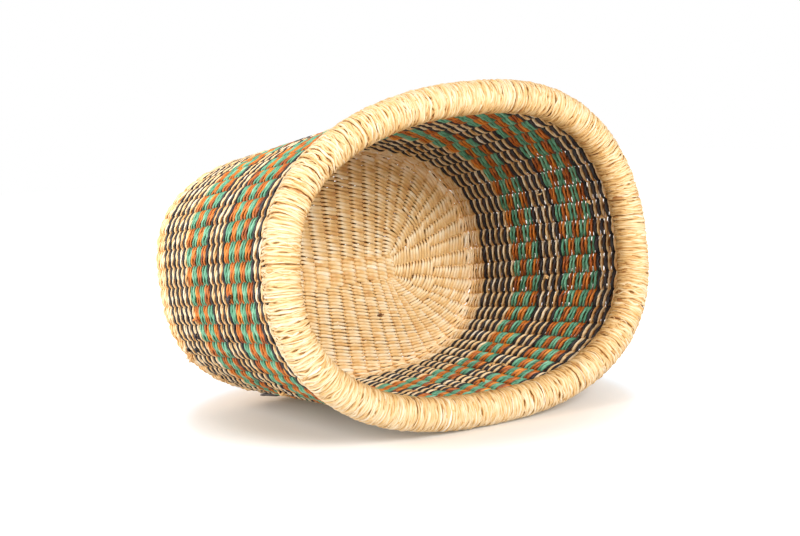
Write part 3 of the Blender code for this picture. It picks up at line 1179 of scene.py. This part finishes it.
@dataclass
class RimRoll:
    """The roll round the mouth: a bundle of grass, wrapped closely with strands.

    Turns are placed, lean and bend in stakes along the rim. A rate is how fast a wave
    runs along a turn, and a pair of rates is its limits.

    Attributes:
        clearance: the gap between the core and the wall's top.
        wrap_depth: how far inside the roll's radius the turns' middle lines are.
        half_slot: half the space between a turn's two ends, across the wall.
        lean: how far turns lean on average, and how much that differs.
        bow, swell: how much a turn bends, or its width changes, and the rate.
        weave, ripple: how much a turn sways along the rim, and in and out.
        end_dip, end_taper: how far a turn's ends go in, or get thinner, and how late.
        inner_shade: how much darker painted shade makes the roll towards the mouth, and how
        late.
        bundle_gap: how far the bundle is inside the core's radius.
    """

    shell: Shell
    roll_radius: float = 0.0127
    core_radius: float = 0.0108
    clearance: float = 0.0003
    wrap_depth: float = 0.001
    half_slot: float = 0.0032
    # The close under layer's darker tone is partly painted shade in the gaps between the turns
    # above it, and the thin top layer's lighter tone partly painted highlights.
    layers: tuple[WrapLayer, ...] = (
        WrapLayer("dressed_rim_wrap", 370, 0.00135, 0.00100, -0.00012, 0.52, 0.0123,
                  ("rim_binding",)),
        WrapLayer("dressed_rim_wrap_loose", 360, 0.00128, 0.00098, 0.00016, 0.64, 0.0230),
        WrapLayer("dressed_rim_wrap_thin", 260, 0.00056, 0.00052, 0.00058, 0.70, 0.0230))
    seed: int = 52
    steps: int = 44
    place_spread: float = 0.035
    lean: Pair = (-0.03, 0.05)
    bow: Pair = (0.035, 3.1)
    weave: float = 0.034
    weave_rate: Pair = (10, 24)
    ripple: float = 0.00026
    ripple_rate: Pair = (9, 20)
    height_spread: float = 0.00012
    end_dip: Pair = (0.0012, 14)
    end_taper: Pair = (0.22, 8)
    bulk_spread: float = 0.16
    swell: Pair = (0.13, 13)
    tone_spread: float = 0.09
    # A wave of tone along each turn: partly a real change along the straw, partly painted short
    # highlights.
    tone_and_highlight_wave: float = 0.06
    tone_rate: Pair = (6, 18)
    inner_shade: Pair = (0.22, 1.5)
    edge_shade: float = 0.40
    grain: float = 0.28
    bundle_sides: int = 36
    bundle_steps: int = 240
    bundle_gap: float = 0.0004
    bundle_ridges: int = 9
    ridge_height: float = 0.05
    bundle_tone: float = 0.30
    bundle_grain: Pair = (0.4, 0.1)

    @property
    def height(self) -> float:
        """The height of the roll's middle."""
        return self.shell.wall_top + self.clearance + self.core_radius

    def build(self) -> None:
        """Make the bundle, then the wrap: close turns, and looser ones that cross them."""
        self._bundle()
        source = np.random.default_rng(self.seed)
        for layer in self.layers:
            add_piece(layer.name, [self._turns(Chance(source, layer.turns), layer)], PALE,
                      layer.nodes)

    def _bundle(self) -> None:
        """Make the bundle of grass inside the wrap, with the ridges of its straws."""
        count, sides = self.bundle_steps, self.bundle_sides
        stakes = np.linspace(0, self.shell.stake_count, count, endpoint=False)
        middle, facing = self.shell.place(stakes, np.full_like(stakes, self.shell.row_count), 0.0)
        middle[..., 2] += self.height - self.shell.wall_top
        turns = np.arange(sides) / sides * 2 * np.pi
        ridges = self.ridge_height * np.cos(turns * self.bundle_ridges + stakes[:, None])
        radius = (self.core_radius - self.bundle_gap) * (1 + ridges)
        points = middle[:, None] + facing[:, None] * (radius * np.cos(turns))[..., None]
        points[..., 2] += radius * np.sin(turns)
        here = np.arange(count * sides).reshape(count, sides)
        ahead = np.roll(here, -1, 0)
        faces = np.stack((here, ahead, np.roll(ahead, -1, 1), np.roll(here, -1, 1)), -1)
        mesh = bpy.data.meshes.new("dressed_rim_bundle")
        mesh.from_pydata(points.reshape(-1, 3), [], faces.reshape(-1, 4).tolist())
        places = np.stack((faces // sides, faces % sides), -1) * self.bundle_grain
        dress(mesh, np.full(here.size, self.bundle_tone), places, NATURAL, ["rim_core"])

    def _path(self, share: Array, reach: float) -> tuple[Array, ...]:
        """Work out a turn's path round the roll.

        It starts at the wall's inner side, runs over the roll and leaves it in a straight
        line, to go into the wall's outer side.

        Args:
            share: the places along the turn, from -1 to 1.
            reach: how far below the roll's middle the turn ends.

        Returns:
            The distance out from the roll's middle, the height above it, and the angle
            that the turn faces.
        """
        radius = self.roll_radius - self.wrap_depth
        start = math.pi / 2 + math.pi - math.asin(self.half_slot / self.roll_radius)
        distance = math.hypot(self.half_slot + self.wrap_depth, reach)
        aim = math.atan2(-reach, self.half_slot + self.wrap_depth)
        leave = aim + math.acos(min(radius / distance, 1.0))
        straight = math.sqrt(max(distance ** 2 - radius ** 2, 0.0))
        length = (share + 1) / 2 * (radius * (start - leave) + straight)
        turn = np.maximum(start - length / radius, leave)
        beyond = np.maximum(length - radius * (start - leave), 0.0)
        outward = radius * np.cos(turn) + beyond * math.sin(leave)
        return outward, radius * np.sin(turn) - beyond * math.cos(leave), turn

    def _turns(self, chance: Chance, layer: WrapLayer) -> Tubes:
        """Make a layer's turns, from the wall's inner side over the roll to its outer side.

        Args:
            chance: the random numbers.
            layer: what the turns are like.

        Returns:
            The turns as open strands.
        """
        number = layer.turns
        share = np.linspace(-1.0, 1.0, self.steps)
        phases = chance.source.uniform(0, 2 * np.pi, (5, number, 1))
        place = (np.arange(number)[:, None] + 0.5) / number * self.shell.stake_count
        place = place + chance.each(self.place_spread)
        lean = chance.each(self.lean[1], self.lean[0])
        bow = chance.each(self.bow[0])
        weave = chance.each(self.weave)
        stakes = (place + lean * share + bow * np.sin(share * self.bow[1] + phases[0])
                  + weave * np.sin(share * chance.between(*self.weave_rate) + phases[1]))
        ripple = (self.ripple * np.sin(share * chance.between(*self.ripple_rate) + phases[2])
                  + chance.each(self.height_spread) + layer.proud
                  - self.end_dip[0] * np.abs(share) ** self.end_dip[1])
        outward, up, turn = self._path(share, layer.reach)
        outward = outward + ripple * np.cos(turn)
        rows = self.height + up + ripple * np.sin(turn) - self.shell.foot_height
        centres, facing = self.shell.place(stakes, rows / self.shell.row_pitch, outward)
        facing_out = facing * np.cos(turn)[:, None]
        facing_out[..., 2] += np.sin(turn)
        bulk = 1 + chance.each(self.bulk_spread)
        body = ((1 - self.end_taper[0] * np.abs(share) ** self.end_taper[1]) * bulk
                * (1 + self.swell[0] * np.sin(share * self.swell[1] + phases[3])))
        # Painted shade: the turns are darker on the roll's side towards the mouth.
        shade, power = self.inner_shade
        # The wave along a turn is partly painted short highlights.
        tones = (layer.tone + chance.each(self.tone_spread)
                 + self.tone_and_highlight_wave * np.sin(share * chance.between(*self.tone_rate) + phases[4])
                 - shade * np.maximum(-np.cos(turn), 0.0) ** power)
        along = chance.grain(np.arange(self.steps + 1), self.grain)
        return Tubes(centres, facing_out, layer.half_depth * body, layer.half_width * body, tones,
                     along, False, edge_shade=self.edge_shade)


@dataclass(frozen=True)
class Tuft:
    """A few short fibres that stick out of the weave at one place.

    The start and the run are in stakes, rows and metres outward. A fibre rises by
    the lift and comes back down, unless it ends free.
    """

    finish: GrassFinish
    start: Triple
    run: Triple = (0.16, -0.5, 0.0)
    lift: float = 0.0016
    spread: float = 0.55
    fibres: int = 5
    half_width: float = 0.00075
    half_depth: float = 0.0006


@dataclass
class SmallEnds:
    """The knots, the black weaver's tail and the frayed fibres seen in the photo.

    The inner and black knots are at a stake and a row each.
    """

    shell: Shell
    inner_depth: float = -0.0028
    outer_depth: float = 0.0030
    inner_knots: tuple[Pair, ...] = ((2.80, 22.8), (1.85, 36.1), (1.00, 38.5), (57.75, 21.1),
                                     (50.4, 21.0), (50.7, 24.8))
    black_knots: tuple[Pair, ...] = ((29.65, 26.5), (32.35, 1.1), (32.35, 4.6), (31.55, 7.7),
                                     (31.7, 21.0))
    steps: int = 9
    seed: int = 88
    start_spread: float = 0.35
    start_stakes: float = 0.25
    turn_stakes: float = 0.18
    turn_rows: float = 0.8
    rise_spread: float = 0.3
    tone: Pair = (0.5, 0.15)
    grain: float = 0.2

    def build(self) -> None:
        """Make all tufts, one piece for each grass."""
        tufts = [Tuft(NATURAL, (*knot, self.inner_depth), fibres=3) for knot in self.inner_knots]
        tufts += [Tuft(BLACK, (*knot, self.outer_depth), lift=0.0018, spread=0.6)
                  for knot in self.black_knots]
        tufts += [
            Tuft(ORANGE, (48.35, 27.7, -0.0030), fibres=4),
            Tuft(STAKE, (47.65, -20.8, -0.0024), (0.5, 0.4, 0.0), fibres=3),
            Tuft(NATURAL, (36.0, 19.9, 0.0034), (0.2, 1.4, 0.0), 0.0020, 1.2, 7),
            Tuft(ORANGE, (30.55, 10.8, 0.0030), lift=0.0018, spread=0.6, fibres=4),
            Tuft(NATURAL, (33.0, -0.8, 0.0028), (0.15, -1.2, 0.0030), 0.0012, 1.1, 7, 0.00034,
                 0.00024),
            Tuft(NATURAL, (35.3, 1.3, 0.0028), (-0.1, -1.4, 0.0026), 0.0012, 1.0, 5, 0.00034,
                 0.00024),
            Tuft(BLACK, (38.0, 7.0, 0.0034), (0.35, -9.5, 0.0022), 0.0, 0.12, 2, 0.0018, 0.0013)]
        source = np.random.default_rng(self.seed)
        for finish in (NATURAL, BLACK, ORANGE, STAKE):
            own = [self._fibres(source, tuft) for tuft in tufts if tuft.finish == finish]
            add_piece(f"dressed_small_ends_{finish.grass.value}", own, finish, [])

    def _fibres(self, source: np.random.Generator, tuft: Tuft) -> Tubes:
        """Make one tuft.

        Args:
            source: the random numbers.
            tuft: what the tuft is like.

        Returns:
            Its fibres as open strands.
        """
        chance = Chance(source, tuft.fibres)
        share = np.linspace(0.0, 1.0, self.steps)
        shifts = source.normal(0, self.start_spread, (3, tuft.fibres, 1)) * tuft.spread
        turns = source.normal(0, 1.0, (3, tuft.fibres, 1)) * tuft.spread
        side = math.copysign(1.0, tuft.start[2])
        stakes = (tuft.start[0] + shifts[0] * self.start_stakes
                  + (tuft.run[0] + turns[0] * self.turn_stakes) * share)
        rows = tuft.start[1] + shifts[1] + (tuft.run[1] + turns[1] * self.turn_rows) * share
        rise = (tuft.lift * (1 + self.rise_spread * turns[2]) * np.sin(share * np.pi)
                + tuft.run[2] * share)
        centres, facing = self.shell.place(stakes, rows, tuft.start[2] + side * rise)
        body = (1 - 0.5 * np.abs(share * 2 - 1) ** 6) * np.ones((tuft.fibres, 1))
        tone = self.tone[0] + chance.each(self.tone[1]) * np.ones(self.steps)
        along = chance.grain(np.arange(self.steps + 1), self.grain)
        return Tubes(centres, facing, tuft.half_depth * body, tuft.half_width * body, tone, along,
                     False)


@dataclass
class Studio:
    """The camera of the photographed view, the floor the basket lies on, and soft light."""

    place: Triple = (-0.7407, 0.0122, 1.1697)
    turn: tuple[Triple, ...] = (
        (0.80838, -0.12854, 0.57446),
        (-0.11241, -0.99162, -0.06369),
        (0.57783, -0.01309, -0.81605),
    )
    lens: float = 72.0
    sensor: float = 36.0
    view_end: float = 50.0
    floor_facing: Triple = (0.0, 0.9900, 0.1411)
    floor_size: float = 5.0
    floor_gap: float = 0.0002
    floor_colour: tuple[float, ...] = (0.80, 0.81, 0.82, 1.0)
    # The floor's glow is painted light: dim and warm within the first reach of the shadow's
    # middle, so that the cast shadow shows there, bluer towards the second reach at the shadow's
    # edge, and white beyond it.
    shadow_middle: Triple = (0.0, -0.13, 0.112)
    shadow_reach: Pair = (0.11, 0.305)
    painted_floor_glow: tuple[tuple[float, Triple], ...] = (
        (0.0, (0.070, 0.055, 0.035)), (0.25, (0.26, 0.29, 0.30)), (0.5, (0.50, 0.76, 1.0)),
        (0.75, (0.84, 1.0, 1.0)), (1.0, (1.0, 1.0, 1.0)))
    lamp_aim: Triple = (0.0, 0.0, 0.11)
    lamps: tuple[tuple[str, Triple, float, float], ...] = (
        ("mouth_softbox", (-0.14, 0.52, 1.92), 0.8, 42.5),
        ("left_softbox", (-1.85, 0.75, -0.20), 1.6, 43.0))
    ambient: float = 0.46
    shade: Triple = (1.0, 0.62, 0.34)

    def build(self) -> None:
        """Make the camera, the floor, the lamps and the backdrop."""
        self._camera()
        self._floor()
        for name, offset, size, power in self.lamps:
            self._lamp(name, Vector(offset), size, power)
        self._backdrop()

    def _camera(self) -> None:
        """Place the camera, whose turn is given as its right, down and ahead."""
        data = bpy.data.cameras.new("photo_camera")
        data.lens = self.lens
        data.sensor_width = self.sensor
        data.clip_end = self.view_end
        camera = add_object("photo_camera", data)
        right, down, ahead = (Vector(row) for row in self.turn)
        matrix = Matrix((right, -down, -ahead)).transposed().to_4x4()
        matrix.translation = Vector(self.place)
        camera.matrix_world = matrix
        bpy.context.scene.camera = camera

    def _floor(self) -> None:
        """Lay the floor against the rim and the body, white to the camera but for the shadow."""
        normal = Vector(self.floor_facing).normalized()
        lowest = min(lowest_along(piece, normal) for piece in bpy.data.objects
                     if piece.type == "MESH" and piece.name.startswith("dressed"))
        long = Vector((1.0, 0.0, 0.0))
        bpy.ops.object.select_all(action="DESELECT")
        bpy.ops.mesh.primitive_plane_add(size=self.floor_size)
        floor = bpy.context.active_object
        floor.name = "studio_floor"
        matrix = Matrix((long, normal.cross(long), normal)).transposed().to_4x4()
        matrix.translation = normal * (lowest - self.floor_gap)
        floor.data.transform(matrix)
        floor.data.materials.append(self._floor_material())

    def _floor_material(self) -> bpy.types.Material:
        """Make a floor that takes the shadow near the basket and turns white further out.

        Returns:
            The material.
        """
        material = bpy.data.materials.new("studio_floor")
        material.use_nodes = True
        tree = material.node_tree
        tree.nodes.clear()
        bench = Bench(tree)
        lit = bench.node("ShaderNodeBsdfDiffuse", None, {"Color": self.floor_colour})
        where = bench.node("ShaderNodeNewGeometry", output="Position")
        away = bench.node("ShaderNodeVectorMath", {"operation": "DISTANCE"},
                          {0: where, 1: self.shadow_middle}, "Value")
        start, end = self.shadow_reach
        beyond = bench.node("ShaderNodeMapRange", {"interpolation_type": "SMOOTHSTEP"},
                            {"Value": away, "From Min": start, "From Max": end})
        painted_fade = bench.node("ShaderNodeValToRGB", {"stops": self.painted_floor_glow}, {0: beyond})
        # Painted light: the floor glows for the camera and in reflections, by the ramp above.
        glow = bench.node("ShaderNodeEmission", None, {"Color": painted_fade, "Strength": bench.seen()})
        both = bench.node("ShaderNodeAddShader", None, {0: lit, 1: glow})
        clear = bench.node("ShaderNodeBsdfTransparent")
        behind = bench.node("ShaderNodeNewGeometry", output="Backfacing")
        shown = bench.node("ShaderNodeMixShader", None, {0: behind, 1: both, 2: clear})
        surface = tree.nodes.new("ShaderNodeOutputMaterial")
        tree.links.new(shown.output, surface.inputs["Surface"])
        return material

    def _lamp(self, name: str, offset: Vector, size: float, power: float) -> None:
        """Add a square soft lamp that faces the basket.

        Args:
            name: the lamp's name.
            offset: its place, from the point it faces.
            size: the length of its side.
            power: its power in watts.
        """
        data = bpy.data.lights.new(name, "AREA")
        data.shape = "SQUARE"
        data.size = size
        data.energy = power
        lamp = add_object(name, data)
        lamp.location = Vector(self.lamp_aim) + offset
        lamp.rotation_euler = offset.to_track_quat("Z", "Y").to_euler()

    def _backdrop(self) -> None:
        """Make the surroundings white to the camera and a plain level for the light."""
        world = bpy.data.worlds.new("studio")
        bpy.context.scene.world = world
        world.use_nodes = True
        tree = world.node_tree
        bench = Bench(tree)
        background = tree.nodes["Background"]
        seen = bench.seen()
        colour = bench.node("ShaderNodeMix", {"data_type": "RGBA"},
                            {0: seen, 6: (*self.shade, 1.0), 7: (1.0, 1.0, 1.0, 1.0)}, 2)
        strength = seen * (1.0 - self.ambient) + self.ambient
        tree.links.new(colour.output, background.inputs["Color"])
        tree.links.new(strength.output, background.inputs["Strength"])
        bpy.context.scene.view_settings.view_transform = "Standard"


def lowest_along(piece: bpy.types.Object, normal: Vector) -> float:
    """Find a piece's lowest point along a direction.

    Args:
        piece: the piece.
        normal: the direction, at length one.

    Returns:
        How far along it that point is.
    """
    points = np.zeros(len(piece.data.vertices) * 3, dtype=np.float32)
    piece.data.vertices.foreach_get("co", points)
    points = points.reshape(-1, 3)
    return normal.dot(Vector(points[np.argmin(points @ np.array(normal))]))


def main() -> None:
    """Build the basket from its stakes to its rim, then the studio round it."""
    logging.basicConfig(level=logging.INFO, format="%(name)s: %(message)s")
    shell = Shell()
    twining = Twining(shell)
    base = FootAndBase(twining)
    Stakes(base).build()
    base.build()
    Wall(twining).build()
    RimRoll(shell).build()
    SmallEnds(shell).build()
    Studio().build()


if __name__ == "__main__":
    main()
